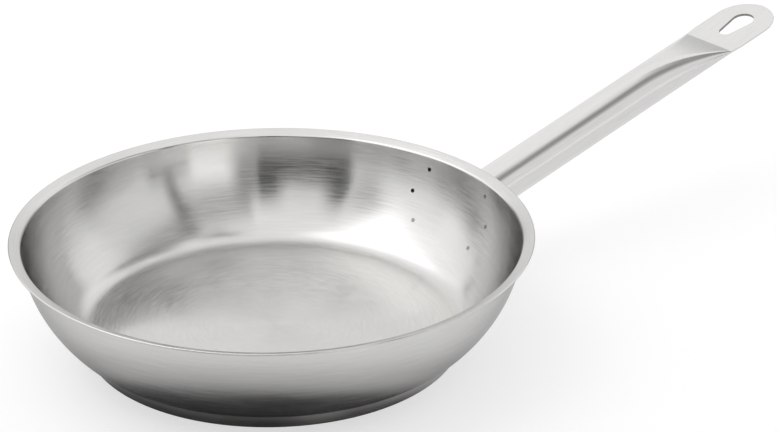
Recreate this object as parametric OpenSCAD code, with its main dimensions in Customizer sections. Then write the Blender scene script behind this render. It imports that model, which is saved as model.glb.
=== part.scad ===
// A stainless steel frying pan: a drawn shell with a flared pouring lip, a
// bonded base with an aluminium core, and a round tube handle that is pressed
// flat at its hanging end. The handle sits on a bracket with six spot welds.
// Origin: on the pan's axis, at the underside of the base. +Z is up and the
// handle points along +X. Lengths are in millimetres, angles in degrees.

/* [Bowl] */
// Outer diameter across the lip
lip_d = 280; // [240:1:320]
// Height of the lip's edge above the table
pan_h = 62.8; // [58:0.1:70]
// Thickness of the drawn steel sheet
sheet_t = 1; // [0.6:0.1:1.4]
// Radius of the wall's curve, measured on its outside
wall_arc_r = 77; // [72:0.5:88]
// Height above the lip at which the wall's curve would stand upright
wall_arc_rise = 5.2; // [1:0.1:9]
// Radius of the corner between floor and wall, measured on its outside
corner_r = 20.4; // [12:0.2:24]

/* [Lip] */
// How far the lip reaches out beyond the wall
lip_w = 5.4; // [4:0.1:8]
// Slope of the lip up towards its edge, in degrees
lip_slope = 20; // [5:1:35]
// Radius of the bend under the lip
lip_bend_r = 0.6; // [0.4:0.1:2]

/* [Base] */
// Diameter of the base
base_d = 203; // [190:1:208]
// Thickness of the aluminium disc
spreader_t = 5.8; // [4:0.2:7]
// Thickness of the steel tray that encloses the disc
cap_t = 0.6; // [0.4:0.1:0.8]
// Radius of the tray's rounded foot
foot_r = 1; // [0.9:0.1:3]

/* [Handle] */
// Diameter of the handle's tube
tube_d = 24.5; // [20:0.1:27]
// Wall thickness of the tube
tube_t = 0.8; // [0.6:0.1:1.5]
// Height of the tube's axis where it passes below the lip's edge
axis_z = 38.3; // [35:0.1:40]
// Rise of the handle, in degrees
handle_rise = 14.6; // [8:0.1:20]
// Length of the handle from below the lip's edge to its tip
handle_l = 244.6; // [200:0.2:290]
// Length over which the tube is pressed flat
press_l = 65; // [45:1:80]
// Step down from the round tube to the pressed stretch
press_step = 0.05; // [0.04:0.01:0.1]
// Length of the flat end
tab_l = 48.2; // [44:0.2:60]
// Width of the flat end
tab_w = 39.4; // [36:0.2:44]
// Width of the crease, where the flat end begins
crease_w = 37.7; // [34:0.1:40]
// Length over which the flat end widens from its crease
flare_l = 8; // [4:0.5:20]

/* [Hanging eye] */
// Diameter of the eye's wide end
eye_d = 13.8; // [10:0.1:16]
// Diameter of the eye's narrow end
eye_narrow_d = 8.8; // [5:0.1:9.8]
// Length of the eye
eye_l = 25.6; // [20:0.1:28]
// Metal between the eye and the handle's tip
eye_edge = 11.5; // [8:0.1:14]

/* [Bracket and welds] */
// Thickness of the bracket's steel
bracket_t = 1.5; // [1:0.1:2]
// Height of the bracket's middle row of welds
bracket_z = 38.9; // [38:0.1:40]
// Height from one row of welds to the next
weld_pitch = 14.3; // [13:0.1:15]
// Distance between the two welds of the middle row
weld_mid_span = 63.4; // [54:0.2:72]
// Distance between the two welds of the top or bottom row
weld_end_span = 48; // [40:0.2:54]
// Diameter of a spot weld
weld_d = 2.4; // [2:0.1:4]
// Metal between a weld's centre and the bracket's edge
weld_margin = 5; // [3.5:0.1:5.2]
// Length of the spigot inside the tube, beyond the lip's edge
spigot_l = 8; // [2:0.5:20]
// Thickness of the weld bead round the tube
bead_d = 3; // [2:0.1:4]

/* [Clearances] */
// Gap between the aluminium disc's rim and the tray
rim_gap = 0.1; // [0.05:0.05:0.2]
// Gap between the wall, the bracket and the tube's cut end
seat_gap = 0.1; // [0.05:0.05:0.2]
// Gap between the spigot and the tube
spigot_gap = 0.15; // [0.05:0.05:0.3]
// Gap round a spot weld in the two sheets
weld_gap = 0.05; // [0.02:0.01:0.1]

/* [Hidden] */
$fn = 180;
steel = "#cfcfcc";
dark_steel = "#8d8d8b";
weld_steel = "#6f6f6d";
aluminium = "#d9dbdd";

// Places of the bowl's section, as [radius, height]
lip_r = lip_d / 2;
base_r = base_d / 2;
shell_z = cap_t + spreader_t;
arc_z = pan_h + wall_arc_rise;
arc_x = lip_r - lip_w - sqrt(pow(wall_arc_r, 2) - pow(wall_arc_rise, 2));
arc_c = [arc_x, arc_z];
corner_run = sqrt(pow(wall_arc_r - corner_r, 2) - pow(arc_z - shell_z - corner_r, 2));
corner_c = [arc_x + corner_run, shell_z + corner_r];
corner_a = atan2(corner_c.y - arc_c.y, corner_c.x - arc_c.x);

// The lip: the middle of its rounded edge, its direction and its bend
edge_c = [lip_r - sheet_t / 2, pan_h - sheet_t / 2];
lip_dir = [cos(lip_slope), sin(lip_slope)];
lip_down = [sin(lip_slope), -cos(lip_slope)];
bend_line = edge_c + (sheet_t / 2 + lip_bend_r) * lip_down - arc_c;
bend_reach = wall_arc_r + lip_bend_r;
bend_along = bend_line * lip_dir;
bend_back = bend_along
    - sqrt(pow(bend_along, 2) - bend_line * bend_line + pow(bend_reach, 2));
bend_c = arc_c + bend_line - bend_back * lip_dir;
bend_a = atan2(bend_c.y - arc_c.y, bend_c.x - arc_c.x);

// Offsets from the wall's outside, outwards
bracket_in = seat_gap;
bracket_out = bracket_in + bracket_t;
tube_end = bracket_out + seat_gap;

// The handle's own sizes: x runs along it from below the lip's edge
tube_r = tube_d / 2;
bore_r = tube_r - tube_t;
tab_t = 2 * tube_t;
press_d = tube_d - 2 * press_step;
crease_x = handle_l - tab_l;
round_x = crease_x - press_l;
root_x = -(tube_d + lip_w);
tab_r = tab_w / 2;
crease_half = crease_w / 2;
// The round tube and the flat end run this far into the pressed stretch
press_lap = press_l * tube_t / press_d;
eye_r = eye_d / 2;
eye_narrow_r = eye_narrow_d / 2;
eye_x = handle_l - eye_edge - eye_r;
eye_span = eye_l - eye_r - eye_narrow_r;
spigot_r = bore_r - spigot_gap;
weld_rows = [
    [bracket_z - weld_pitch, weld_end_span / 2],
    [bracket_z, weld_mid_span / 2],
    [bracket_z + weld_pitch, weld_end_span / 2]];

// Steps along the arcs of the section, the pressed stretch and the bead
corner_steps = 8;
wall_steps = 24;
bend_steps = 10;
edge_steps = 8;
press_rings = 16;
press_sides = 40;
bead_steps = 48;
bead_sides = 10;
bead_halvings = 24;

// Radius of the wall's outside at a height, and its slope there
function wall_a(z) = asin((z - arc_z) / wall_arc_r);
function wall_r(z) = arc_x + wall_arc_r * cos(wall_a(z));

// Points along an arc, from its first step or a later one
function arc(c, r, a0, a1, steps, first = 0) = [
    for (i = [first:steps])
        let (a = a0 + (a1 - a0) * i / steps)
        c + r * [cos(a), sin(a)]];

// The shell in section: up its outside, round the lip's edge, down its inside
shell_points = [
    [0, shell_z],
    each arc(corner_c, corner_r, -90, corner_a, corner_steps),
    each arc(arc_c, wall_arc_r, corner_a, bend_a, wall_steps, 1),
    each arc(bend_c, lip_bend_r, 180 + bend_a, 90 + lip_slope, bend_steps, 1),
    each arc(edge_c, sheet_t / 2, lip_slope - 90, lip_slope + 90, edge_steps),
    each arc(bend_c, lip_bend_r + sheet_t, 90 + lip_slope, 180 + bend_a, bend_steps),
    each arc(arc_c, wall_arc_r - sheet_t, bend_a, corner_a, wall_steps, 1),
    each arc(corner_c, corner_r - sheet_t, corner_a, -90, corner_steps, 1),
    [0, shell_z + sheet_t]];

module pan_body() {
    color(steel)
        difference() {
            rotate_extrude()
                polygon(shell_points);
            weld_holes();
        }
}

// A disc with a rounded lower corner, in section
module foot_section(r, bottom, top, round_r) {
    translate([0, bottom])
        square([r - round_r, top - bottom]);
    translate([0, bottom + round_r])
        square([r, top - bottom - round_r]);
    intersection() {
        translate([r - round_r, bottom + round_r])
            circle(r = round_r);
        square([r, bottom + round_r]);
    }
}

module base_spreader() {
    color(aluminium)
        rotate_extrude()
            foot_section(base_r - cap_t - rim_gap, cap_t, shell_z, foot_r - cap_t);
}

module base_cap() {
    color(dark_steel)
        rotate_extrude()
            difference() {
                foot_section(base_r, 0, shell_z, foot_r);
                foot_section(base_r - cap_t, cap_t, shell_z, foot_r - cap_t);
            }
}

// Everything within the wall's outside, moved out by an offset
module bowl_envelope(out) {
    rotate_extrude() {
        square([arc_x, pan_h]);
        intersection() {
            translate(arc_c)
                circle(r = wall_arc_r + out);
            square([lip_r, pan_h]);
        }
    }
}

// Puts a child, built along +X, on the handle's axis
module on_handle() {
    translate([lip_r, 0, axis_z])
        rotate([0, -handle_rise, 0])
            children();
}

module rod(from_x, to_x, r) {
    translate([from_x, 0, 0])
        rotate([0, 90, 0])
            cylinder(r = r, h = to_x - from_x);
}

// A round bar through wall and bracket at each weld, square to the wall
module weld_bars(r, from_out, to_out) {
    for (row = weld_rows, side = [-1, 1])
        rotate(side * asin(row[1] / wall_r(row[0])))
            translate([arc_x, 0, arc_z])
                rotate([0, -wall_a(row[0]), 0])
                    rod(wall_arc_r + from_out, wall_arc_r + to_out, r);
}

module weld_holes() {
    weld_bars(weld_d / 2 + weld_gap, -2 * sheet_t, bracket_out + bracket_t);
}

module spot_welds() {
    color(weld_steel)
        weld_bars(weld_d / 2, weld_gap - sheet_t, bracket_out - weld_gap);
}

// The welds' centres in order round the bracket, seen along the handle
weld_ring = [
    for (row = weld_rows) [row[1], row[0]],
    for (i = [len(weld_rows) - 1:-1:0]) [-weld_rows[i][1], weld_rows[i][0]]];

// Both ends of each straight edge, a margin outside two neighbouring welds
bracket_points = [
    for (i = [0:len(weld_ring) - 1])
        let (a = weld_ring[i], b = weld_ring[(i + 1) % len(weld_ring)])
        let (out = weld_margin * [b.y - a.y, a.x - b.x] / norm(b - a))
        for (p = [a + out, b + out]) p];

module bracket_outline() {
    polygon(bracket_points);
    for (p = weld_ring)
        translate(p)
            circle(r = weld_margin);
}

// The bracket's outline as a bar along +X, from the pan's axis outwards
module bracket_bar() {
    rotate([90, 0, 90])
        linear_extrude(height = lip_r + lip_w)
            bracket_outline();
}

module handle_bracket() {
    color(steel)
        difference() {
            union() {
                intersection() {
                    bracket_bar();
                    bowl_envelope(bracket_out);
                }
                on_handle()
                    rod(root_x, spigot_l, spigot_r);
            }
            bowl_envelope(bracket_in);
            on_handle()
                rod(root_x - tube_d, spigot_l + tube_d, spigot_r - bracket_t);
            weld_holes();
        }
}

// A point at a distance and a turn from the handle's axis, in the pan's frame
function handle_point(x, r, a) = [
    lip_r + x * cos(handle_rise) - r * cos(a) * sin(handle_rise),
    r * sin(a),
    axis_z + x * sin(handle_rise) + r * cos(a) * cos(handle_rise)];
function outside_wall(p) = norm([norm([p.x, p.y]) - arc_x, p.z - arc_z]) - wall_arc_r;

// Where a line along the handle stands a given offset outside the wall, by
// halving the stretch that holds it
function meet_x(out, r, a, low, high, n) =
    n <= 0 ? (low + high) / 2
    : let (mid = (low + high) / 2)
    outside_wall(handle_point(mid, r, a)) < out
    ? meet_x(out, r, a, mid, high, n - 1)
    : meet_x(out, r, a, low, mid, n - 1);

// A round bead that lies in the corner between the bracket and the tube
bead_r = bead_d / 2;
bead_axis_r = tube_r + seat_gap + bead_r;
bead_rings = [
    for (i = [0:bead_steps - 1])
        let (a = 360 * i / bead_steps)
        let (x = meet_x(tube_end + bead_r, bead_axis_r, a, root_x, tube_d, bead_halvings))
        [
            for (j = [0:bead_sides - 1])
                let (b = 360 * j / bead_sides)
                handle_point(x + bead_r * sin(b), bead_axis_r + bead_r * cos(b), a)]];

// Triangles between one ring of points and the next, rings by their first point
function band(first, next, n) = [
    for (j = [0:n - 1])
        let (k = (j + 1) % n)
        for (t = [[first + j, next + j, next + k], [first + j, next + k, first + k]]) t];

module handle_weld_bead() {
    color(weld_steel)
        polyhedron(
            points = [for (ring = bead_rings) for (p = ring) p],
            faces = [
                for (i = [0:bead_steps - 1])
                    each band(i * bead_sides, ((i + 1) % bead_steps) * bead_sides, bead_sides)]);
}

// The pressed stretch: s runs from 0 at the crease to 1 where the tube is round.
// Its last ring lies back in the round tube
function press_height(s) = tab_t + (press_d - tab_t) * (2 * s - s * s);
function flat_width(h) = (crease_w - tab_t) * (press_d - h) / (press_d - tab_t);
function press_ring(s, inset) =
    let (h = press_height(s), side_r = h / 2 - inset, flat = flat_width(h) / 2)
    [
        for (i = [0:press_sides - 1])
            let (a = 360 * (i + 1 / 2) / press_sides)
            [
                crease_x - s * press_l - (s == 1 ? press_lap : 0),
                side_r * cos(a) + sign(cos(a)) * flat,
                side_r * sin(a)]];

// Rings lie closer together towards the crease, and the hollow ends one short
press_shares = [for (i = [0:press_rings]) pow(1 - i / press_rings, 2)];
press_points = [
    for (s = press_shares) each press_ring(s, 0),
    for (i = [0:press_rings - 1]) each press_ring(press_shares[i], tube_t)];

module pressed_stretch() {
    n = press_sides;
    hollow = (press_rings + 1) * n;
    last = press_rings * n;
    polyhedron(
        points = press_points,
        faces = [
            for (i = [0:press_rings - 1]) each band(i * n, (i + 1) * n, n),
            for (i = [0:press_rings - 2]) each band(hollow + (i + 1) * n, hollow + i * n, n),
            each band(hollow, 0, n),
            [for (j = [n - 1:-1:0]) last + j],
            [for (j = [0:n - 1]) hollow + last - n + j]]);
}

// The teardrop eye in plan: two circles and the lines that touch both
module eye_outline() {
    lean = asin((eye_r - eye_narrow_r) / eye_span);
    side = [-sin(lean), cos(lean)];
    other = [side.x, -side.y];
    wide = [eye_x, 0];
    narrow = [eye_x - eye_span, 0];
    translate(wide)
        circle(r = eye_r);
    translate(narrow)
        circle(r = eye_narrow_r);
    polygon([
        wide + eye_r * side,
        narrow + eye_narrow_r * side,
        narrow + eye_narrow_r * other,
        wide + eye_r * other]);
}

// The plate starts inside the pressed stretch, in the middle of its walls
module flat_end() {
    lap_h = press_height(press_lap / press_l);
    lap_half = (flat_width(lap_h) + lap_h - tube_t) / 2;
    translate([0, 0, -tab_t / 2])
        linear_extrude(height = tab_t)
            difference() {
                union() {
                    polygon([
                        [crease_x - press_lap, -lap_half],
                        [crease_x, -crease_half],
                        [crease_x + flare_l, -tab_r],
                        [handle_l - tab_r, -tab_r],
                        [handle_l - tab_r, tab_r],
                        [crease_x + flare_l, tab_r],
                        [crease_x, crease_half],
                        [crease_x - press_lap, lap_half]]);
                    translate([handle_l - tab_r, 0])
                        circle(r = tab_r);
                }
                eye_outline();
            }
}

module handle_tube() {
    color(steel) {
        difference() {
            on_handle()
                rod(root_x, round_x, tube_r);
            on_handle()
                rod(root_x - tube_d, round_x + tube_d, bore_r);
            bowl_envelope(tube_end);
        }
        on_handle() {
            pressed_stretch();
            flat_end();
        }
    }
}

pan_body();
base_spreader();
base_cap();
handle_bracket();
spot_welds();
handle_weld_bead();
handle_tube();
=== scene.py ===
"""Dresses a stainless steel frying pan: a turned bowl with a flared lip, a
bonded base, a welded bracket and a tube handle pressed flat round its eye."""

import math

import bpy
from mathutils import Matrix, Vector


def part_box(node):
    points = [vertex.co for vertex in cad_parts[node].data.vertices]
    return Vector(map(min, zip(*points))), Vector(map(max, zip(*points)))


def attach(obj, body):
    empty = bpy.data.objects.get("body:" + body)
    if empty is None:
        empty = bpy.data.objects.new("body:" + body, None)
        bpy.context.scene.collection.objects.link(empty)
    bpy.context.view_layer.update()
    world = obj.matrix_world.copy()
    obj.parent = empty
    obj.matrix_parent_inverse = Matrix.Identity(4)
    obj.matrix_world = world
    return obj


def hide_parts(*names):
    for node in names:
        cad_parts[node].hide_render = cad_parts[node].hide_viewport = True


bl_info = {
    "name": "Steel Frying Pan",
    "version": (1, 0, 0),
    "blender": (4, 5, 0),
    "location": "View3D > Sidebar > Frying Pan",
    "description": "Builds the visible pieces of a steel frying pan and its studio",
    "category": "Object",
}

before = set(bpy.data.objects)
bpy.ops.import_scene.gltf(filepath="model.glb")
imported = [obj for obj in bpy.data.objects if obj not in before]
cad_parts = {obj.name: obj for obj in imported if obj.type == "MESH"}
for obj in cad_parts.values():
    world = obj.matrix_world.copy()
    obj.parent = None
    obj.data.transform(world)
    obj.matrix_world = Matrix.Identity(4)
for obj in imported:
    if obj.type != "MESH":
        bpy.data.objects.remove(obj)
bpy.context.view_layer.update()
BODY_LOW, BODY_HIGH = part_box("pan_body")
BASE_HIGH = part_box("base_cap")[1]
TUBE_LOW, TUBE_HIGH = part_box("handle_tube")
MM = 0.001
TURN = 2 * math.pi
QUARTER = math.pi / 2

# Angles between faces below which a piece is shaded smooth
TURNED_SMOOTH = math.radians(40)
PRESSED_SMOOTH = math.radians(35)
BEAD_SMOOTH = math.radians(60)


# Settings

def metres(name, description, default):
    """A property that holds a length."""
    return bpy.props.FloatProperty(
        name=name, description=description, default=default, unit="LENGTH")


def degrees(name, description, default):
    """A property that holds an angle, given in degrees."""
    return bpy.props.FloatProperty(
        name=name, description=description, default=math.radians(default), subtype="ANGLE")


def fraction(name, description, default):
    """A property that holds a share between 0 and 1."""
    return bpy.props.FloatProperty(
        name=name, description=description, default=default, min=0, max=1)


def rgb(name, description, default):
    """A property that holds a colour."""
    return bpy.props.FloatVectorProperty(
        name=name, description=description, default=default, subtype="COLOR", min=0, max=1)


class FRYPAN_PG_bowl(bpy.types.PropertyGroup):
    """Sizes of the bowl's section"""

    lip_radius: metres(
        "Lip radius", "From the pan's axis to the lip's edge", (BODY_HIGH.y - BODY_LOW.y) / 2)
    height: metres("Height", "Height of the lip's edge", BODY_HIGH.z)
    floor_height: metres("Floor height", "Height of the sheet's underside", BODY_LOW.z)
    sheet: metres("Sheet", "Thickness of the drawn sheet", 1 * MM)
    wall_radius: metres("Wall radius", "Radius of the wall's curve, outside", 77 * MM)
    wall_rise: metres(
        "Wall rise", "Height above the lip at which the wall would stand upright", 5.2 * MM)
    corner_radius: metres("Corner radius", "Radius between floor and wall, outside", 20.4 * MM)
    lip_width: metres("Lip width", "How far the lip reaches beyond the wall", 5.4 * MM)
    lip_slope: degrees("Lip slope", "Slope of the lip up towards its edge", 20)
    bend_radius: metres("Bend radius", "Radius of the bend under the lip", 0.6 * MM)
    around: bpy.props.IntProperty(
        name="Steps around", description="Faces round the pan's axis", default=288, min=32)


class FRYPAN_PG_base(bpy.types.PropertyGroup):
    """Sizes of the base"""

    radius: metres("Radius", "Radius of the tray", BASE_HIGH.x)
    height: metres("Height", "Height of the tray's rim", BASE_HIGH.z)
    sheet: metres("Sheet", "Thickness of the tray's steel", 0.6 * MM)
    foot_radius: metres("Foot radius", "Rounding at the foot", 1 * MM)
    rim_radius: metres("Rim radius", "Rounding of the rim's edge", 0.25 * MM)


class FRYPAN_PG_handle(bpy.types.PropertyGroup):
    """Sizes of the handle, along its own axis from below the lip's edge"""

    tube_radius: metres("Tube radius", "Outer radius of the tube", 12.25 * MM)
    wall: metres("Wall", "Wall thickness of the tube", 0.8 * MM)
    axis_height: metres("Axis height", "Height of the axis below the lip's edge", 38.3 * MM)
    rise: degrees("Rise", "Slope of the handle", 14.6)
    length: metres("Length", "From below the lip's edge to the tip", 244.6 * MM)
    press_length: metres("Pressed length", "Length over which the tube is pressed flat", 65 * MM)
    tab_length: metres("Flat length", "Length of the flat end", 48.2 * MM)
    tab_width: metres("Flat width", "Width of the flat end", TUBE_HIGH.y - TUBE_LOW.y)
    crease_width: metres("Crease width", "Width where the flat end begins", 37.7 * MM)
    flare_length: metres("Flare length", "Length over which the flat end widens", 8 * MM)
    eye_radius: metres("Eye radius", "Radius of the eye's wide end", 6.9 * MM)
    eye_narrow_radius: metres("Eye narrow radius", "Radius of the eye's narrow end", 4.4 * MM)
    eye_length: metres("Eye length", "Length of the eye", 25.6 * MM)
    eye_edge: metres("Eye edge", "Metal between the eye and the tip", 11.5 * MM)
    around: bpy.props.IntProperty(
        name="Steps around", description="Faces round the tube", default=120, min=24)


class FRYPAN_PG_bracket(bpy.types.PropertyGroup):
    """Sizes of the bracket, its spot welds and the weld bead"""

    sheet: metres("Sheet", "Thickness of the bracket", 1.5 * MM)
    gap: metres("Gap", "Gap between wall and bracket", 0.1 * MM)
    middle_height: metres("Middle height", "Height of the middle row of welds", 38.9 * MM)
    row_pitch: metres("Row pitch", "Height from one row of welds to the next", 14.3 * MM)
    middle_span: metres("Middle span", "Distance between the middle welds", 63.4 * MM)
    end_span: metres("End span", "Distance between the top or bottom welds", 48 * MM)
    margin: metres("Margin", "Metal between a weld's centre and the bracket's edge", 5 * MM)
    weld_radius: metres("Weld radius", "Radius of a spot weld", 1.2 * MM)
    bead_radius: metres("Bead radius", "Radius of the weld bead", 1.5 * MM)


class FRYPAN_PG_finish(bpy.types.PropertyGroup):
    """Colours and finishes of the steel"""

    bowl_colour: rgb("Bowl", "Colour of the bowl's steel", (0.745, 0.739, 0.728))
    handle_colour: rgb("Handle", "Colour of the handle's steel", (0.78, 0.774, 0.763))
    base_colour: rgb("Base", "Colour of the base's steel", (0.55, 0.54, 0.53))
    core_colour: rgb("Core", "Colour of the aluminium core", (0.8, 0.8, 0.81))
    weld_colour: rgb("Welds", "Colour of the welds", (0.4, 0.39, 0.38))
    bowl_roughness: fraction("Bowl roughness", "Roughness of the brushed bowl", 0.18)
    handle_roughness: fraction("Handle roughness", "Roughness of the brushed handle", 0.16)
    brushing: fraction("Brushing", "How far the brushing stretches a reflection", 1.0)


class FRYPAN_PG_studio(bpy.types.PropertyGroup):
    """The camera and the studio's light"""

    camera_distance: metres("Distance", "Camera from the pan's foot", 1.43724)
    camera_elevation: degrees("Elevation", "Camera above the floor, seen from the foot", 27.64)
    camera_side: degrees("Side", "How far the camera stands round from the pan's side", 36.76)
    camera_turn: degrees("Turn", "Turn from the foot towards the handle", 2.80)
    camera_tilt: degrees("Tilt", "Tilt up from the foot", 2.56)
    lens: bpy.props.FloatProperty(
        name="Lens", description="Focal length in millimetres", default=122.16)
    floor_size: metres("Floor", "Width of the floor", 3.5)
    tent_radius: metres("Tent", "Radius of the light tent", 2.5)


SETTINGS = {
    "frypan_bowl": FRYPAN_PG_bowl,
    "frypan_base": FRYPAN_PG_base,
    "frypan_handle": FRYPAN_PG_handle,
    "frypan_bracket": FRYPAN_PG_bracket,
    "frypan_finish": FRYPAN_PG_finish,
    "frypan_studio": FRYPAN_PG_studio,
}


# Modelling helpers

def clear_selection():
    """Leaves object mode with nothing selected."""
    if bpy.context.mode != "OBJECT":
        bpy.ops.object.mode_set(mode="OBJECT")
    bpy.ops.object.select_all(action="DESELECT")


def pick(piece):
    """Selects a piece alone and makes it the active one."""
    clear_selection()
    piece.select_set(True)
    bpy.context.view_layer.objects.active = piece


def mend(piece, distance=1e-6):
    """Merges doubles and turns the faces outwards."""
    pick(piece)
    bpy.ops.object.mode_set(mode="EDIT")
    bpy.ops.mesh.select_all(action="SELECT")
    bpy.ops.mesh.remove_doubles(threshold=distance)
    bpy.ops.mesh.normals_make_consistent(inside=False)
    bpy.ops.object.mode_set(mode="OBJECT")


def drawn(name, points):
    """A line of points, drawn by extruding one vertex from each to the next."""
    clear_selection()
    bpy.ops.mesh.primitive_plane_add(size=MM)
    piece = bpy.context.object
    piece.name = piece.data.name = name
    bpy.ops.object.mode_set(mode="EDIT")
    bpy.ops.mesh.merge(type="CENTER")
    bpy.ops.transform.translate(value=points[0])
    for last, point in zip(points, points[1:]):
        step = Vector(point) - Vector(last)
        bpy.ops.mesh.extrude_vertices_move(TRANSFORM_OT_translate={"value": step})
    return piece


def turned(name, section, steps):
    """A piece turned on the pan's axis from its section of (radius, height)."""
    piece = drawn(name, [(radius, 0, height) for radius, height in section])
    bpy.ops.mesh.select_all(action="SELECT")
    bpy.ops.mesh.spin(
        steps=steps, angle=TURN, center=(0, 0, 0), axis=(0, 0, 1), use_auto_merge=True)
    mend(piece)
    return piece


def apply_modifier(piece, kind, **settings):
    """Adds a modifier with its settings and applies it."""
    pick(piece)
    modifier = piece.modifiers.new(kind.lower(), kind)
    for key, value in settings.items():
        setattr(modifier, key, value)
    bpy.ops.object.modifier_apply(modifier=modifier.name)


def smooth(piece, angle):
    """Shades a piece smooth where its faces meet below an angle."""
    pick(piece)
    bpy.ops.object.shade_smooth_by_angle(angle=angle)


def settle(piece, slot, finish, *nodes):
    """Puts a piece's place in its mesh and gives it its body and finish; slot is not used."""
    pick(piece)
    bpy.ops.object.transform_apply(location=True, rotation=True, scale=True)
    piece.data.materials.clear()
    piece.data.materials.append(finish)
    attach(piece, "root")
    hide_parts(*nodes)


def arc(centre, radius, start, end, steps, first=0):
    """Points along an arc, from its first step or a later one."""
    points = []
    for i in range(first, steps + 1):
        angle = start + (end - start) * i / steps
        points.append((
            centre[0] + radius * math.cos(angle), centre[1] + radius * math.sin(angle)))
    return points


# The bowl's shape

class Bowl:
    """The centres and angles of the arcs in the bowl's section."""

    CORNER_STEPS, WALL_STEPS, UNDER_STEPS, EDGE_STEPS, OVER_STEPS = 16, 40, 8, 10, 12

    def __init__(self, size):
        self.size = size
        self.arc_z = size.height + size.wall_rise
        self.arc_x = size.lip_radius - size.lip_width - math.sqrt(
            size.wall_radius ** 2 - size.wall_rise ** 2)
        self.wall = Vector((self.arc_x, self.arc_z))
        run = math.sqrt(
            (size.wall_radius - size.corner_radius) ** 2
            - (self.arc_z - size.floor_height - size.corner_radius) ** 2)
        self.corner = Vector((self.arc_x + run, size.floor_height + size.corner_radius))
        self.corner_angle = math.atan2(
            self.corner.y - self.wall.y, self.corner.x - self.wall.x)
        self.edge = Vector((size.lip_radius - size.sheet / 2, size.height - size.sheet / 2))
        slope = size.lip_slope
        along = Vector((math.cos(slope), math.sin(slope)))
        under = Vector((math.sin(slope), -math.cos(slope)))
        line = self.edge + (size.sheet / 2 + size.bend_radius) * under - self.wall
        reach = size.wall_radius + size.bend_radius
        back = line.dot(along) - math.sqrt(line.dot(along) ** 2 - line.dot(line) + reach ** 2)
        self.bend = self.wall + line - back * along
        self.bend_angle = math.atan2(self.bend.y - self.wall.y, self.bend.x - self.wall.x)

    def section(self):
        """Up the outside, round the lip's edge and down the inside."""
        size = self.size
        corner, bend, lip = self.corner_angle, self.bend_angle, size.lip_slope
        return [
            (0, size.floor_height),
            *arc(self.corner, size.corner_radius, -QUARTER, corner, self.CORNER_STEPS),
            *arc(self.wall, size.wall_radius, corner, bend, self.WALL_STEPS, 1),
            *arc(self.bend, size.bend_radius, math.pi + bend, QUARTER + lip,
                 self.UNDER_STEPS, 1),
            *arc(self.edge, size.sheet / 2, lip - QUARTER, lip + QUARTER, self.EDGE_STEPS),
            *arc(self.bend, size.bend_radius + size.sheet, QUARTER + lip, math.pi + bend,
                 self.OVER_STEPS),
            *arc(self.wall, size.wall_radius - size.sheet, bend, corner, self.WALL_STEPS, 1),
            *arc(self.corner, size.corner_radius - size.sheet, corner, -QUARTER,
                 self.CORNER_STEPS, 1),
            (0, size.floor_height + size.sheet)]

    def wall_angle(self, height):
        """The wall's slope outwards at a height."""
        return math.asin((height - self.arc_z) / self.size.wall_radius)

    def wall_radius_at(self, height):
        """The outside radius of the wall at a height."""
        return self.arc_x + self.size.wall_radius * math.cos(self.wall_angle(height))

    def outside(self, point):
        """How far a point lies outside the wall."""
        across = math.hypot(point.x, point.y) - self.arc_x
        return math.hypot(across, point.z - self.arc_z) - self.size.wall_radius


class Handle:
    """The handle's own frame and the shape of its sections."""

    # The wall is looked for from so many radii before the lip's edge to so many after
    BEFORE, AFTER = 3, 2
    HALVINGS = 30

    def __init__(self, size, lip_radius):
        self.size = size
        self.place = Matrix.Translation((lip_radius, 0, size.axis_height)) @ Matrix.Rotation(
            -size.rise, 4, "Y")
        self.tab = 2 * size.wall
        self.crease = size.length - size.tab_length
        self.round_end = self.crease - size.press_length
        self.tip_centre = size.length - size.tab_width / 2

    def section_at(self, x):
        """Height and straight half-width of the section at a place along the handle."""
        size = self.size
        tube = 2 * size.tube_radius
        if x <= self.round_end:
            return tube, 0
        if x < self.crease:
            share = (self.crease - x) / size.press_length
            height = self.tab + (tube - self.tab) * (2 * share - share * share)
            width = size.crease_width - self.tab
            return height, width * (tube - height) / (tube - self.tab) / 2
        half = size.tab_width / 2
        if x < self.crease + size.flare_length:
            share = (x - self.crease) / size.flare_length
            half = size.crease_width / 2 * (1 - share) + half * share
        elif x > self.tip_centre:
            half = math.sqrt(max(half ** 2 - (x - self.tip_centre) ** 2, 0))
        height = min(self.tab, 2 * half)
        return height, half - height / 2

    def pressed(self, x, angle):
        """Where a point of the round tube comes to lie, at the same share of the way round."""
        height, flat = self.section_at(x)
        half = height / 2
        corner = QUARTER * half
        way = (angle % QUARTER) / QUARTER
        quadrant = int(angle // QUARTER) % 4
        if quadrant % 2:
            way = 1 - way
        run = way * (corner + flat)
        if run < corner or flat == 0:
            turn = run / half if half else 0
            y, z = flat + half * math.cos(turn), half * math.sin(turn)
        else:
            y, z = flat - (run - corner), half
        return Vector((x, y if quadrant in (0, 3) else -y, z if quadrant < 2 else -z))

    def meet(self, bowl, out, radius, angle):
        """Where a line along the tube stands an offset outside the wall, by halving."""
        low, high = -self.BEFORE * self.size.tube_radius, self.AFTER * self.size.tube_radius
        for _ in range(self.HALVINGS):
            middle = (low + high) / 2
            point = self.place @ Vector((
                middle, radius * math.cos(angle), radius * math.sin(angle)))
            if bowl.outside(point) < out:
                low = middle
            else:
                high = middle
        return low


# Materials

# A noise lies mostly between these, so they are spread to a finish's own range
NOISE_LOW, NOISE_HIGH = 0.3, 0.7

# Detail and roughness of the fine and the broad noises
FINE = (3.0, 0.6)
BROAD = (2.0, 0.5)

# Brushed lines and grains, per metre across them
FINE_LINES, BROAD_LINES, BLOTCHES, GRAINS, HEAT_SPOTS = 2300, 650, 60, 900, 120

# Turn of the anisotropic highlight that sets the brushing round the pan's axis
ROUND = 0.25

# Share of its reflection that the brushed bowl keeps at a grazing view
BOWL_EDGE = 0.6


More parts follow.
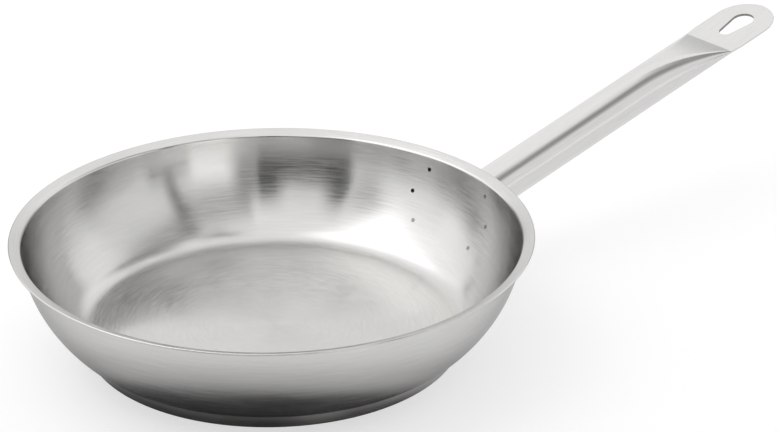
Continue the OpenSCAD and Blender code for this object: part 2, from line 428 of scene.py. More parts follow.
class Value:
    """A shader value. Arithmetic on it adds Math nodes."""

    def __init__(self, finish, socket):
        self.finish = finish
        self.socket = socket

    def math(self, operation, *others):
        """The result of a Math node on this value and others."""
        inputs = dict(enumerate((self, *others)))
        return self.finish.add("ShaderNodeMath", {"operation": operation}, inputs)

    def __add__(self, other):
        return self.math("ADD", other)

    def __sub__(self, other):
        return self.math("SUBTRACT", other)

    def __mul__(self, other):
        return self.math("MULTIPLY", other)

    def __truediv__(self, other):
        return self.math("DIVIDE", other)

    def __rsub__(self, other):
        return self.finish.add(
            "ShaderNodeMath", {"operation": "SUBTRACT"}, {0: other, 1: self})

    __radd__ = __add__
    __rmul__ = __mul__


class Finish:
    """A node material, built from values and expressions."""

    def __init__(self, name):
        self.material = bpy.data.materials.new(name)
        self.material.use_nodes = True
        self.tree = self.material.node_tree
        self.tree.nodes.clear()

    def add(self, kind, settings=None, inputs=None, output=0):
        """Adds a node with its settings and inputs, and returns one of its outputs."""
        node = self.tree.nodes.new(kind)
        for key, setting in (settings or {}).items():
            if key == "stops":
                self.set_stops(node.color_ramp, setting)
            else:
                setattr(node, key, setting)
        for key, given in (inputs or {}).items():
            self.feed(node.inputs[key], given)
        return Value(self, node.outputs[output]) if node.outputs else None

    def feed(self, socket, given):
        """Sets a socket or links a value to it."""
        if isinstance(given, Value):
            self.tree.links.new(given.socket, socket)
        else:
            socket.default_value = given

    @staticmethod
    def set_stops(ramp, stops):
        """Gives a colour ramp its stops of (position, grey)."""
        while len(ramp.elements) < len(stops):
            ramp.elements.new(1)
        for element, (position, grey) in zip(ramp.elements, stops):
            element.position = position
            element.color = (grey, grey, grey, 1)

    def place(self):
        """The x, y and z of a point on the piece."""
        point = self.add("ShaderNodeTexCoord", output="Object")
        split = self.add("ShaderNodeSeparateXYZ", inputs={0: point}).socket.node
        return [Value(self, split.outputs[i]) for i in range(3)]

    def vector(self, x, y, z):
        """A vector from its three parts."""
        return self.add("ShaderNodeCombineXYZ", inputs={0: x, 1: y, 2: z})

    def noise(self, point, kind, scale=1.0):
        """A noise between 0 and 1, of the fine or the broad kind."""
        detail, roughness = kind
        return self.add("ShaderNodeTexNoise", inputs={
            "Vector": point, "Scale": scale, "Detail": detail, "Roughness": roughness})

    def spread(self, value, low, high, to_low, to_high):
        """Maps a value from one range to another."""
        return self.add("ShaderNodeMapRange", inputs={
            0: value, 1: low, 2: high, 3: to_low, 4: to_high})

    def vary(self, noise, low, high):
        """Spreads a noise between two values."""
        return self.spread(noise, NOISE_LOW, NOISE_HIGH, low, high)

    def tinted(self, colour, amount):
        """A colour made lighter or darker by an amount."""
        return self.add("ShaderNodeVectorMath", {"operation": "SCALE"}, {
            0: tuple(colour), "Scale": amount})

    def steel(self, colour, roughness, normal=None, brushing=0, across=0, edge=1.0):
        """Makes the material a metal."""
        inputs = {
            "Base Color": colour, "Roughness": roughness, "Metallic": 1.0,
            "Specular Tint": (edge, edge, edge, 1),
            "Anisotropic": brushing, "Anisotropic Rotation": across}
        if normal:
            inputs["Normal"] = normal
        return self.finished(self.add("ShaderNodeBsdfPrincipled", inputs=inputs))

    def light(self, colour, strength):
        """Makes the material a light of its own."""
        return self.finished(self.add("ShaderNodeEmission", inputs={
            "Color": colour, "Strength": strength}))

    def finished(self, shader):
        """Puts a shader on the material's output."""
        self.add("ShaderNodeOutputMaterial", inputs={"Surface": shader})
        return self.material

    def bump(self, height, strength, distance):
        """A normal that follows a height."""
        return self.add("ShaderNodeBump", inputs={
            "Strength": strength, "Distance": distance, "Height": height}, output="Normal")


def round_brushing(finish):
    """Noises that run round the pan's axis: fine lines, broad lines and blotches."""
    x, y, z = finish.place()
    radius = (x * x + y * y).math("SQRT")
    along = radius + z
    cosine = x / radius.math("MAXIMUM", MM)
    sine = y / radius.math("MAXIMUM", MM)
    kinds = ((FINE_LINES, 7, FINE), (BROAD_LINES, 5, BROAD), (BLOTCHES, 3, BROAD))
    return [
        finish.noise(finish.vector(along * across, cosine * around, sine * around), kind)
        for across, around, kind in kinds]


def satin_bowl_finish(look):
    """Satin steel, brushed round the bowl."""
    finish = Finish("satin_steel_bowl")
    fine, broad, blotch = round_brushing(finish)
    tone = finish.vary(fine, 0.95, 1.05) * finish.vary(broad, 0.985, 1.015)
    rough = finish.spread(fine * 0.7 + blotch * 0.3, 0.35, 0.65, -0.06, 0.06) + look.bowl_roughness
    normal = finish.bump(fine * 0.75 + broad * 0.25, 1.0, 0.025 * MM)
    return finish.steel(
        finish.tinted(look.bowl_colour, tone), rough, normal, look.brushing, ROUND, BOWL_EDGE)


def turned_base_finish(look):
    """Steel of the tray, turned in fine rings."""
    finish = Finish("turned_steel_base")
    fine, broad, blotch = round_brushing(finish)
    tone = finish.vary(fine, 0.92, 1.05)
    rough = finish.vary(blotch, 0.3, 0.4)
    normal = finish.bump(fine * 0.6 + broad * 0.4, 0.25, 0.03 * MM)
    return finish.steel(finish.tinted(look.base_colour, tone), rough, normal, 0.6, ROUND)


def satin_handle_finish(look, rise):
    """Satin steel, brushed along the handle."""
    finish = Finish("satin_steel_handle")
    x, y, z = finish.place()
    along = x * math.cos(rise) + z * math.sin(rise)
    height = z * math.cos(rise) - x * math.sin(rise)
    fine = finish.noise(
        finish.vector(along * 60, y * FINE_LINES, height * FINE_LINES), FINE)
    broad = finish.noise(
        finish.vector(along * 14, y * BROAD_LINES, height * BROAD_LINES), BROAD)
    tone = finish.vary(fine, 0.94, 1.03) * finish.vary(broad, 0.98, 1.01)
    rough = finish.vary(broad, -0.03, 0.03) + look.handle_roughness
    normal = finish.bump(fine * 0.6 + broad * 0.4, 0.8, 0.02 * MM)
    return finish.steel(finish.tinted(look.handle_colour, tone), rough, normal)


def punched_edge_finish(look):
    """The eye's cut edge, dull as the punch leaves it and darkened with painted shade."""
    finish = Finish("punched_steel_edge")
    x, y, z = finish.place()
    grain = finish.noise(finish.vector(x * GRAINS, y * GRAINS, z * 200), FINE)
    # Painted shade: the cut edge kept far darker than the handle's steel
    tone = finish.vary(grain, 0.3, 0.45)
    rough = finish.vary(grain, 0.35, 0.5)
    normal = finish.bump(grain, 0.3, 0.02 * MM)
    return finish.steel(finish.tinted(look.handle_colour, tone), rough, normal)


def bracket_finish(look):
    """Plain rolled steel."""
    finish = Finish("rolled_steel_bracket")
    x, y, z = finish.place()
    grain = finish.noise(finish.vector(x * GRAINS, y * 200, z * GRAINS), FINE)
    tone = finish.vary(grain, 0.95, 1.02)
    rough = finish.vary(grain, 0.3, 0.38)
    normal = finish.bump(grain, 0.15, 0.02 * MM)
    return finish.steel(finish.tinted(look.bowl_colour, tone), rough, normal)


def weld_finish(look):
    """Steel as it is left by the weld, dark and a little rough."""
    finish = Finish("welded_steel")
    x, y, z = finish.place()
    point = finish.vector(x, y, z)
    grain = finish.noise(point, FINE, GRAINS)
    heat = finish.noise(point, BROAD, HEAT_SPOTS)
    tone = finish.vary(heat, 0.7, 1.2)
    rough = finish.vary(grain, 0.38, 0.55)
    normal = finish.bump(grain, 0.4, 0.05 * MM)
    return finish.steel(finish.tinted(look.weld_colour, tone), rough, normal)


def mark_finish(look, row_height, pitch):
    """Dark spot welds with painted shade: darkest on one side, palest in the lowest row."""
    finish = Finish("spot_weld_steel")
    x, y, z = finish.place()
    grain = finish.noise(finish.vector(x, y, z), FINE, GRAINS)
    # Painted shade: the upper rows darker, and those on one side darker still
    upper_rows_shade = finish.spread(z, row_height - pitch * 0.7, row_height - pitch * 0.4, 0, 1)
    side_shade = y.math("GREATER_THAN", 0) * upper_rows_shade
    tone = 1.0 - upper_rows_shade * 0.2 - side_shade * 0.74
    rough = finish.vary(grain, 0.38, 0.55)
    normal = finish.bump(grain, 0.3, 0.03 * MM)
    return finish.steel(finish.tinted(look.weld_colour, tone), rough, normal)


def core_finish(look):
    """Rolled aluminium of the disc inside the base."""
    finish = Finish("rolled_aluminium_core")
    fine, broad, blotch = round_brushing(finish)
    tone = finish.vary(fine, 0.94, 1.03)
    rough = finish.vary(blotch, 0.35, 0.45)
    normal = finish.bump(broad, 0.2, 0.02 * MM)
    return finish.steel(finish.tinted(look.core_colour, tone), rough, normal)


# Pieces

class FRYPAN_OT_bowl(bpy.types.Operator):
    """Turns the bowl from its section, lip and all"""

    bl_idname = "frypan.bowl"
    bl_label = "Bowl"

    def execute(self, context):
        scene = context.scene
        bowl = Bowl(scene.frypan_bowl)
        piece = turned("bowl", bowl.section(), scene.frypan_bowl.around)
        smooth(piece, TURNED_SMOOTH)
        settle(piece, "satin_steel", satin_bowl_finish(scene.frypan_finish), "pan_body")
        return {"FINISHED"}


class FRYPAN_OT_base(bpy.types.Operator):
    """Turns the tray of the base, and gives the aluminium disc in it its finish"""

    bl_idname = "frypan.base"
    bl_label = "Base"

    FOOT_STEPS, RIM_STEPS, INNER_STEPS = 8, 5, 5

    def execute(self, context):
        scene = context.scene
        size = scene.frypan_base
        foot = (size.radius - size.foot_radius, size.foot_radius)
        inside = size.radius - size.sheet
        rim = size.rim_radius
        section = [
            (0, 0),
            *arc(foot, size.foot_radius, -QUARTER, 0, self.FOOT_STEPS),
            *arc((size.radius - rim, size.height - rim), rim, 0, QUARTER, self.RIM_STEPS),
            *arc((inside + rim, size.height - rim), rim, QUARTER, math.pi, self.RIM_STEPS),
            *arc(foot, size.foot_radius - size.sheet, 0, -QUARTER, self.INNER_STEPS),
            (0, size.sheet)]
        piece = turned("base_tray", section, scene.frypan_bowl.around)
        smooth(piece, TURNED_SMOOTH)
        look = scene.frypan_finish
        settle(piece, "base_steel", turned_base_finish(look), "base_cap")
        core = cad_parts["base_spreader"]
        core.data.materials.clear()
        core.data.materials.append(core_finish(look))
        return {"FINISHED"}


def rounded_outline(centres, radius, steps):
    """The outline round a ring of centres, given anticlockwise, as (y, z) points."""
    points = []
    for i, centre in enumerate(centres):
        before, after = centres[i - 1], centres[(i + 1) % len(centres)]
        start = math.atan2(centre[1] - before[1], centre[0] - before[0]) - QUARTER
        end = math.atan2(after[1] - centre[1], after[0] - centre[0]) - QUARTER
        if end < start:
            end += TURN
        points += arc(centre, radius, start, end, steps)
    return points


def weld_rows(size):
    """Height and half-span of each row of welds, from the lowest."""
    return [
        (size.middle_height - size.row_pitch, size.end_span / 2),
        (size.middle_height, size.middle_span / 2),
        (size.middle_height + size.row_pitch, size.end_span / 2)]


class FRYPAN_OT_bracket(bpy.types.Operator):
    """Cuts the bracket's plate and curves it to the wall"""

    bl_idname = "frypan.bracket"
    bl_label = "Bracket"

    OUTLINE_STEPS = 8
    CUTS_ACROSS, CUTS_UP = 28, 16
    EDGE_RADIUS, EDGE_STEPS, EDGE_ANGLE = 0.3 * MM, 3, math.radians(50)

    def execute(self, context):
        scene = context.scene
        size = scene.frypan_bracket
        bowl = Bowl(scene.frypan_bowl)
        rows = weld_rows(size)
        centres = [(span, height) for height, span in rows]
        centres += [(-span, height) for height, span in reversed(rows)]
        outline = rounded_outline(centres, size.margin, self.OUTLINE_STEPS)
        piece = drawn("bracket", [(0, y, z) for y, z in outline])
        bpy.ops.mesh.select_all(action="SELECT")
        bpy.ops.mesh.edge_face_add()
        for axis, cuts in ((0, self.CUTS_ACROSS), (1, self.CUTS_UP)):
            low = min(point[axis] for point in outline)
            high = max(point[axis] for point in outline)
            for i in range(1, cuts):
                place, normal = [0, 0, 0], [0, 0, 0]
                place[axis + 1], normal[axis + 1] = low + (high - low) * i / cuts, 1
                bpy.ops.mesh.select_all(action="SELECT")
                bpy.ops.mesh.bisect(plane_co=place, plane_no=normal)
        mend(piece)
        for vertex in piece.data.vertices:
            out = bowl.wall_radius_at(vertex.co.z)
            vertex.co.x = math.sqrt(out ** 2 - vertex.co.y ** 2)
        apply_modifier(piece, "SOLIDIFY", thickness=size.sheet, offset=1, use_even_offset=True)
        self.set_outwards(piece, bowl, size)
        apply_modifier(
            piece, "BEVEL", width=self.EDGE_RADIUS, segments=self.EDGE_STEPS,
            limit_method="ANGLE", angle_limit=self.EDGE_ANGLE)
        smooth(piece, PRESSED_SMOOTH)
        settle(piece, "satin_steel", bracket_finish(scene.frypan_finish), "handle_bracket")
        return {"FINISHED"}

    @staticmethod
    def set_outwards(piece, bowl, size):
        """Sets the plate's two faces at their offsets from the wall."""
        for vertex in piece.data.vertices:
            across = math.hypot(vertex.co.x, vertex.co.y)
            slope = Vector((across - bowl.arc_x, vertex.co.z - bowl.arc_z))
            outer = abs(slope.length - bowl.size.wall_radius) > size.sheet / 2
            out = size.gap + (size.sheet if outer else 0)
            slope = slope.normalized() * (bowl.size.wall_radius + out)
            turn = math.atan2(vertex.co.y, vertex.co.x)
            reach = bowl.arc_x + slope.x
            vertex.co = (reach * math.cos(turn), reach * math.sin(turn), bowl.arc_z + slope.y)


class FRYPAN_OT_welds(bpy.types.Operator):
    """Sets the spot welds through wall and bracket, each with a dimple at its ends"""

    bl_idname = "frypan.welds"
    bl_label = "Spot welds"

    PROUD = 0.08 * MM
    FACES = 32
    # A face whose normal has more than this share along the weld is an end of it
    END_SHARE = 0.9
    # Each ring of a dimple: how far in it lies, and how much deeper
    DIMPLE = ((0.1 * MM, 0), (0.25 * MM, 0.03 * MM), (0.4 * MM, 0.02 * MM))

    def execute(self, context):
        scene = context.scene
        size = scene.frypan_bracket
        bowl = Bowl(scene.frypan_bowl)
        length = scene.frypan_bowl.sheet + size.gap + size.sheet + 2 * self.PROUD
        middle = bowl.size.wall_radius - bowl.size.sheet - self.PROUD + length / 2
        parts = []
        for height, span in weld_rows(size):
            for side in (-1, 1):
                turn = side * math.asin(span / bowl.wall_radius_at(height))
                parts.append(self.nugget(size.weld_radius, length))
                parts[-1].matrix_world = (
                    Matrix.Rotation(turn, 4, "Z")
                    @ Matrix.Translation((bowl.arc_x, 0, bowl.arc_z))
                    @ Matrix.Rotation(-bowl.wall_angle(height), 4, "Y")
                    @ Matrix.Translation((middle, 0, 0))
                    @ Matrix.Rotation(QUARTER, 4, "Y"))
        clear_selection()
        for part in parts:
            part.select_set(True)
        bpy.context.view_layer.objects.active = parts[0]
        bpy.ops.object.transform_apply(location=True, rotation=True, scale=True)
        bpy.ops.object.join()
        piece = bpy.context.object
        piece.name = piece.data.name = "spot_weld_marks"
        smooth(piece, TURNED_SMOOTH)
        marks = mark_finish(scene.frypan_finish, size.middle_height, size.row_pitch)
        settle(piece, "weld_steel", marks, "spot_welds")
        return {"FINISHED"}

    def nugget(self, radius, length):
        """One weld: a short bar with a dimple in each end."""
        clear_selection()
        bpy.ops.mesh.primitive_cylinder_add(
            vertices=self.FACES, radius=radius, depth=length, end_fill_type="NGON")
        piece = bpy.context.object
        bpy.ops.object.mode_set(mode="EDIT")
        bpy.ops.mesh.select_mode(type="FACE")
        for end in (-1, 1):
            bpy.ops.object.mode_set(mode="OBJECT")
            for face in piece.data.polygons:
                face.select = face.normal.z * end > self.END_SHARE
            bpy.ops.object.mode_set(mode="EDIT")
            for inset, depth in self.DIMPLE:
                bpy.ops.mesh.inset(thickness=inset, depth=0)
                bpy.ops.transform.translate(value=(0, 0, -end * depth))
        bpy.ops.mesh.select_mode(type="VERT")
        bpy.ops.object.mode_set(mode="OBJECT")
        return piece


class FRYPAN_OT_bead(bpy.types.Operator):
    """Lays the weld bead in the corner between bracket and tube"""

    bl_idname = "frypan.bead"
    bl_label = "Weld bead"

    STEPS_ALONG, STEPS_ROUND = 192, 16
    RIPPLES, RIPPLE_HEIGHT, RIPPLE_LEAN = 64, 0.05, 2

    def execute(self, context):
        scene = context.scene
        size = scene.frypan_bracket
        bowl = Bowl(scene.frypan_bowl)
        handle = Handle(scene.frypan_handle, scene.frypan_bowl.lip_radius)
        ring = handle.size.tube_radius + size.gap + size.bead_radius
        out = 2 * size.gap + size.sheet + size.bead_radius
        clear_selection()
        bpy.ops.mesh.primitive_torus_add(
            major_radius=ring, minor_radius=size.bead_radius,
            major_segments=self.STEPS_ALONG, minor_segments=self.STEPS_ROUND)
        piece = bpy.context.object
        piece.name = piece.data.name = "handle_weld"
        for vertex in piece.data.vertices:
            angle = math.atan2(vertex.co.y, vertex.co.x)
            across = math.hypot(vertex.co.x, vertex.co.y) - ring
            lean = self.RIPPLE_LEAN * across / size.bead_radius
            swell = 1 + self.RIPPLE_HEIGHT * math.cos(self.RIPPLES * angle + lean)
            x = handle.meet(bowl, out, ring, angle) + vertex.co.z * swell
            reach = ring + across * swell
            vertex.co = handle.place @ Vector((
                x, reach * math.cos(angle), reach * math.sin(angle)))
        mend(piece)
        smooth(piece, BEAD_SMOOTH)
        settle(piece, "weld_steel", weld_finish(scene.frypan_finish), "handle_weld_bead")
        return {"FINISHED"}


class FRYPAN_OT_handle(bpy.types.Operator):
    """Draws the tube, presses its end flat and punches the eye"""

    bl_idname = "frypan.handle"
    bl_label = "Handle"

    # Rings along the round tube, the pressed part, the flare and the tip
    TUBE_RINGS, PRESS_RINGS, FLARE_RINGS, TIP_RINGS = 8, 48, 6, 40
    # Above 1, the rings of the pressed part crowd towards the crease
    CROWDING = 1.5
    WIDE_STEPS, NARROW_STEPS = 48, 32
    # A face whose normal has less than this share upwards lies in a cut
    CUT_SHARE = 0.5

    def execute(self, context):
        scene = context.scene
        size = scene.frypan_handle
        bowl = Bowl(scene.frypan_bowl)
        handle = Handle(size, scene.frypan_bowl.lip_radius)
        piece = self.tube(handle)
        self.press(piece, handle, bowl, scene.frypan_bracket)
        mend(piece)
        self.punch(piece, handle)
        smooth(piece, PRESSED_SMOOTH)
        cut = self.cut_faces(piece, handle)
        piece.matrix_world = handle.place
        finish = satin_handle_finish(scene.frypan_finish, size.rise)
        settle(piece, "satin_steel", finish, "handle_tube")
        piece.data.materials.append(punched_edge_finish(scene.frypan_finish))
        for face in cut:
            piece.data.polygons[face].material_index = 1
        return {"FINISHED"}

    def cut_faces(self, piece, handle):
        """Numbers of the faces that the punch left round the eye."""
        size = handle.size
        end = size.length - size.eye_edge + MM
        return [
            face.index for face in piece.data.polygons
            if abs(face.normal.z) < self.CUT_SHARE
            and abs(face.center.y) < size.eye_radius + MM
            and end - size.eye_length - 2 * MM < face.center.x < end]

    def stations(self, handle):
        """Places along the handle where the tube gets a ring."""
        size = handle.size
        straight = [
            handle.round_end * i / self.TUBE_RINGS for i in range(self.TUBE_RINGS + 1)]
        pressed = [
            handle.crease - size.press_length * (1 - i / self.PRESS_RINGS) ** self.CROWDING
            for i in range(1, self.PRESS_RINGS)]
        flare = [
            handle.crease + size.flare_length * i / self.FLARE_RINGS
            for i in range(self.FLARE_RINGS + 1)]
        tip = [
            handle.tip_centre + size.tab_width / 2 * math.sin(QUARTER * i / self.TIP_RINGS)
            for i in range(self.TIP_RINGS + 1)]
        return straight + pressed + flare + tip

    def tube(self, handle):
        """A round tube along +X with a ring at each station."""
        size = handle.size
        start = -handle.BEFORE * size.tube_radius
        clear_selection()
        bpy.ops.mesh.primitive_circle_add(
            vertices=size.around, radius=size.tube_radius, rotation=(0, QUARTER, 0))
        piece = bpy.context.object
        piece.name = piece.data.name = "handle"
        bpy.ops.object.transform_apply(location=False, rotation=True, scale=False)
        bpy.ops.object.mode_set(mode="EDIT")
        bpy.ops.mesh.select_all(action="SELECT")
        stations = self.stations(handle)
        for last, place in zip([start, *stations], stations):
            bpy.ops.mesh.extrude_edges_move(
                TRANSFORM_OT_translate={"value": (place - last, 0, 0)})
        bpy.ops.object.mode_set(mode="OBJECT")
        for vertex in piece.data.vertices:
            vertex.co.x += start
        return piece

    @staticmethod
    def press(piece, handle, bowl, bracket):
        """Moves each ring to its section, and the first one to the bracket."""
        root = min(vertex.co.x for vertex in piece.data.vertices)
        out = 2 * bracket.gap + bracket.sheet
        for vertex in piece.data.vertices:
            angle = math.atan2(vertex.co.z, vertex.co.y) % TURN
            if vertex.co.x < root + MM:
                vertex.co.x = handle.meet(bowl, out, handle.size.tube_radius, angle)
            else:
                vertex.co = handle.pressed(vertex.co.x, angle)

    def punch(self, piece, handle):
        """Cuts the teardrop eye through the flat end."""
        size = handle.size
        wide = size.length - size.eye_edge - size.eye_radius
        span = size.eye_length - size.eye_radius - size.eye_narrow_radius
        lean = math.asin((size.eye_radius - size.eye_narrow_radius) / span)
        near, far = QUARTER + lean, 3 * QUARTER - lean
        outline = [
            *arc((wide, 0), size.eye_radius, -near, near, self.WIDE_STEPS),
            *arc((wide - span, 0), size.eye_narrow_radius, near, far, self.NARROW_STEPS)]
        punch = drawn("eye_punch", [(x, y, -size.tube_radius) for x, y in outline])
        bpy.ops.mesh.select_all(action="SELECT")
        bpy.ops.mesh.edge_face_add()
        bpy.ops.mesh.extrude_region_move(
            TRANSFORM_OT_translate={"value": (0, 0, 2 * size.tube_radius)})
        mend(punch)
        apply_modifier(piece, "BOOLEAN", operation="DIFFERENCE", solver="EXACT", object=punch)
        bpy.data.objects.remove(punch)


# The studio

TENT_CENTRE = 0.08
TENT_STEPS_UP, TENT_STEPS_ROUND = 24, 96
TENT_LEVEL = 1.0

# Panels of the light tent, each lying over the ones before it: name, turn from
# and to, height from and to and softness of the sides and of the ends in
# degrees as seen from the pan, and level, where 1 is white
PANELS = (
    ("key_light", 86, 171.5, 34.5, 77, 10, 12, 1.7),
    ("left_wall", 90, 149, 10, 41, 10, 10, 1.13),
    ("right_ceiling", 243.5, 350, 28, 58, 4, 14, 0.45),
    ("top_flag", 282, 322, 69, 84, 10, 6, 0.12),
    ("upper_turn", 297, 340, 49, 65, 10, 8, 0.33),
    ("back_ceiling", 338, 372, 37, 65, 8, 8, 0.3),
    ("left_strip", 169, 191, 14, 42, 12, 12, 0.5),
    ("left_window", 137.5, 176, 14, 26, 8, 6, 0.95),
    ("left_sill", 133, 206, 0, 7.5, 4, 5, 0.03),
    ("right_wall", 288, 345, 7, 44, 2, 10, 0.84),
    ("right_window", 245, 276, 0, 19, 14, 10, 1.28),
    ("right_gap", 270.5, 293, 0, 12, 4, 5, 0.0),
    ("dark_edge", 280.5, 285.5, 12.5, 44, 4, 8, 0.05),
    ("dark_edge_top", 286, 297, 45.5, 60, 7, 8, 0.12),
    ("far_wall", 335, 372.5, 8.5, 43, 6, 8, 0.96),
    ("corner_flag", 6, 41, 0, 26, 8, 10, 0.6),
    ("bright_post", 43, 58, 0, 37, 6, 8, 0.95),
    ("wall_gap", 68, 94.5, 0, 23.5, 8, 8, 0.35),
    ("door_side", 234.5, 250, 0, 42.5, 8, 10, 0.32),
    ("door_foot", 194, 238, 0, 28, 1.5, 4, 0.0),
    ("door", 191, 238, 14, 43, 1.5, 12, 0.0),
    ("door_bump", 201, 226.5, 30, 56, 9, 8, 0.95),
)

# The glowing sheet round the foot, a painted shadow of the pan on the floor: its height
# and outline, its middle, and its level at each distance from there in mm
PAINTED_SHADOW_HEIGHT = 0.2 * MM
PAINTED_SHADOW_STEPS = 96
PAINTED_SHADOW_MIDDLE = (-36, -36)
PAINTED_SHADOW_LEVELS = (
    (60, 0.03), (78, 0.05), (86, 0.27), (94, 0.45), (110, 0.54), (132, 0.74), (180, 0.84),
    (400, 0.83), (1400, 0.79))

# The floor: its colour, and its own light where the camera or the steel sees it
FLOOR_GREY = 0.5
FLOOR_GLOW = 0.58

SENSOR_WIDTH = 36


def panel_share(finish, value, start, end, soft):
    """How far a value in degrees lies between a start and an end, with soft edges."""
    away = (value - (start + end) / 2).math("WRAP", 180, -180).math("ABSOLUTE")
    return finish.spread(away, (end - start - soft) / 2, (end - start + soft) / 2, 1, 0)


def tent_finish():
    """The tent's own light, darker and lighter from panel to panel."""
    finish = Finish("light_tent")
    x, y, z = finish.place()
    x = x - TENT_CENTRE
    reach = (x * x + y * y).math("SQRT")
    turn = y.math("ARCTAN2", x) * math.degrees(1)
    height = z.math("ARCTAN2", reach) * math.degrees(1)
    level = TENT_LEVEL
    for _, turn_from, turn_to, low, high, soft_side, soft_end, value in PANELS:
        # A panel that stands on the floor goes on below it, without a soft foot
        foot = low if low > 0 else -high
        share = panel_share(finish, turn, turn_from, turn_to, soft_side) * panel_share(
            finish, height, foot, high, soft_end)
        level = share * (value - level) + level
    return finish.light((1, 1, 1, 1), level)


def painted_shadow_finish():
    """A glowing grey sheet, darkest at the pan's foot: the pan's painted shadow on the floor."""
    finish = Finish("painted_floor_shadow")
    x, y, _ = finish.place()
    x, y = x - PAINTED_SHADOW_MIDDLE[0] * MM, y - PAINTED_SHADOW_MIDDLE[1] * MM
    radius = (x * x + y * y).math("SQRT")
    reach = PAINTED_SHADOW_LEVELS[-1][0] * MM
    stops = [(place * MM / reach, level) for place, level in PAINTED_SHADOW_LEVELS]
    ramp = finish.add("ShaderNodeValToRGB", {"stops": stops}, {0: radius / reach})
    return finish.light(ramp, 1.0)


def floor_finish():
    """A pale floor that reaches white in the camera and in the steel."""
    finish = Finish("pale_floor")
    path = finish.add("ShaderNodeLightPath").socket.node
    seen = Value(finish, path.outputs["Is Camera Ray"]) + Value(
        finish, path.outputs["Is Glossy Ray"]) + Value(
        finish, path.outputs["Is Transmission Ray"])
    return finish.finished(finish.add("ShaderNodeBsdfPrincipled", inputs={
        "Base Color": (FLOOR_GREY, FLOOR_GREY, FLOOR_GREY, 1), "Roughness": 0.9,
        "Specular IOR Level": 0.0, "Emission Color": (1, 1, 1, 1),
        "Emission Strength": seen.math("MINIMUM", 1.0) * FLOOR_GLOW}))


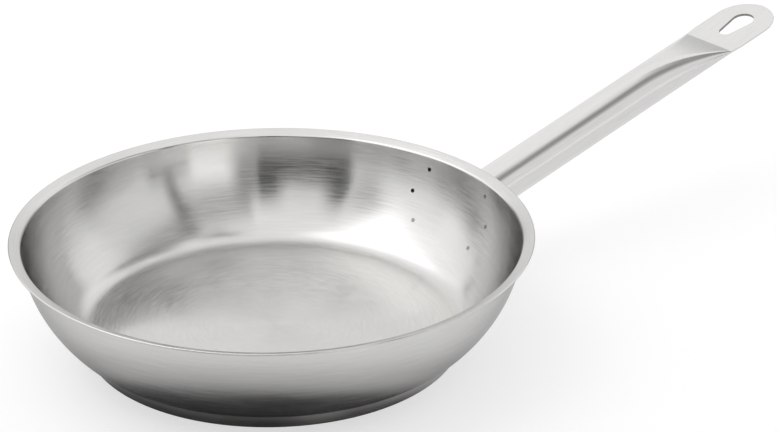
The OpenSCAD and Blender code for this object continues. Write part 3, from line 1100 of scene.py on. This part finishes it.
class FRYPAN_OT_studio(bpy.types.Operator):
    """Lays the floor, sets up the light tent and stands the camera at the photograph's view"""

    bl_idname = "frypan.studio"
    bl_label = "Studio"

    def execute(self, context):
        scene = context.scene
        studio = scene.frypan_studio
        clear_selection()
        bpy.ops.mesh.primitive_plane_add(size=studio.floor_size)
        floor = bpy.context.object
        floor.name = "floor"
        floor.data.materials.append(floor_finish())
        # A glowing ring round the foot paints the pan's shadow on the floor into the steel
        self.lay_painted_shadow(scene.frypan_base.radius - scene.frypan_base.foot_radius)
        self.raise_tent(studio.tent_radius)
        world = bpy.data.worlds.new("studio")
        world.use_nodes = True
        self.light_world(world.node_tree)
        scene.world = world
        self.stand_camera(scene, studio)
        scene.view_settings.view_transform = "Standard"
        return {"FINISHED"}

    @staticmethod
    def light_world(tree):
        """White round the tent, in the picture and in the steel alone."""
        path = tree.nodes.new("ShaderNodeLightPath")
        seen = tree.nodes.new("ShaderNodeMath")
        seen.operation = "MAXIMUM"
        background = tree.nodes["Background"]
        background.inputs["Color"].default_value = (1, 1, 1, 1)
        tree.links.new(path.outputs["Is Camera Ray"], seen.inputs[0])
        tree.links.new(path.outputs["Is Glossy Ray"], seen.inputs[1])
        tree.links.new(seen.outputs[0], background.inputs["Strength"])

    @staticmethod
    def lay_painted_shadow(inner):
        """Lays a glowing grey ring round the foot: a painted shadow, seen in the steel alone."""
        clear_selection()
        reach = PAINTED_SHADOW_LEVELS[-1][0] * MM
        bpy.ops.mesh.primitive_circle_add(
            vertices=PAINTED_SHADOW_STEPS, radius=inner, fill_type="NOTHING", location=(0, 0, PAINTED_SHADOW_HEIGHT))
        painted_shadow_ring = bpy.context.object
        painted_shadow_ring.name = "painted_shadow_ring"
        bpy.ops.object.transform_apply(location=True, rotation=False, scale=False)
        bpy.ops.object.mode_set(mode="EDIT")
        bpy.ops.mesh.select_all(action="SELECT")
        bpy.ops.mesh.extrude_edges_move()
        bpy.ops.transform.resize(value=(reach / inner, reach / inner, 1))
        bpy.ops.object.mode_set(mode="OBJECT")
        painted_shadow_ring.data.materials.append(painted_shadow_finish())
        painted_shadow_ring.visible_camera = False
        painted_shadow_ring.visible_diffuse = False
        painted_shadow_ring.visible_shadow = False

    @staticmethod
    def raise_tent(radius):
        """Raises the round tent that lights the pan and shows in its steel."""
        section = arc((0, MM), radius, 0, QUARTER, TENT_STEPS_UP)
        tent = turned("light_tent", section, TENT_STEPS_ROUND)
        pick(tent)
        bpy.ops.transform.translate(value=(TENT_CENTRE, 0, 0))
        bpy.ops.object.transform_apply(location=True, rotation=False, scale=False)
        tent.data.materials.append(tent_finish())
        tent.visible_camera = False

    @staticmethod
    def stand_camera(scene, studio):
        """Stands the camera on its line of sight to the pan's foot."""
        data = bpy.data.cameras.new("camera")
        camera = bpy.data.objects.new("camera", data)
        scene.collection.objects.link(camera)
        data.lens = studio.lens
        data.sensor_width = SENSOR_WIDTH
        heading = studio.camera_side + QUARTER
        level = studio.camera_distance * math.cos(studio.camera_elevation)
        camera.location = (
            level * math.cos(-heading), level * math.sin(-heading),
            studio.camera_distance * math.sin(studio.camera_elevation))
        camera.rotation_euler = (
            QUARTER - studio.camera_elevation + studio.camera_tilt, 0,
            -studio.camera_side - studio.camera_turn)
        scene.camera = camera


class FRYPAN_PT_panel(bpy.types.Panel):
    """Lists the pan's pieces"""

    bl_idname = "FRYPAN_PT_panel"
    bl_label = "Frying Pan"
    bl_space_type = "VIEW_3D"
    bl_region_type = "UI"
    bl_category = "Frying Pan"

    def draw(self, context):
        for operator in OPERATORS:
            self.layout.operator(operator.bl_idname)
        for name, group in SETTINGS.items():
            box = self.layout.box()
            box.label(text=group.__doc__)
            for key in group.__annotations__:
                box.prop(getattr(context.scene, name), key)


OPERATORS = (
    FRYPAN_OT_bowl,
    FRYPAN_OT_base,
    FRYPAN_OT_bracket,
    FRYPAN_OT_welds,
    FRYPAN_OT_bead,
    FRYPAN_OT_handle,
    FRYPAN_OT_studio,
)


def register():
    for group in (*SETTINGS.values(), *OPERATORS, FRYPAN_PT_panel):
        bpy.utils.register_class(group)
    for name, group in SETTINGS.items():
        setattr(bpy.types.Scene, name, bpy.props.PointerProperty(type=group))


def unregister():
    for name in SETTINGS:
        delattr(bpy.types.Scene, name)
    for group in (FRYPAN_PT_panel, *reversed(OPERATORS), *reversed(SETTINGS.values())):
        bpy.utils.unregister_class(group)


def main():
    """Builds every piece in order."""
    register()
    for operator in OPERATORS:
        group, name = operator.bl_idname.split(".")
        getattr(getattr(bpy.ops, group), name)()


if __name__ == "__main__":
    main()
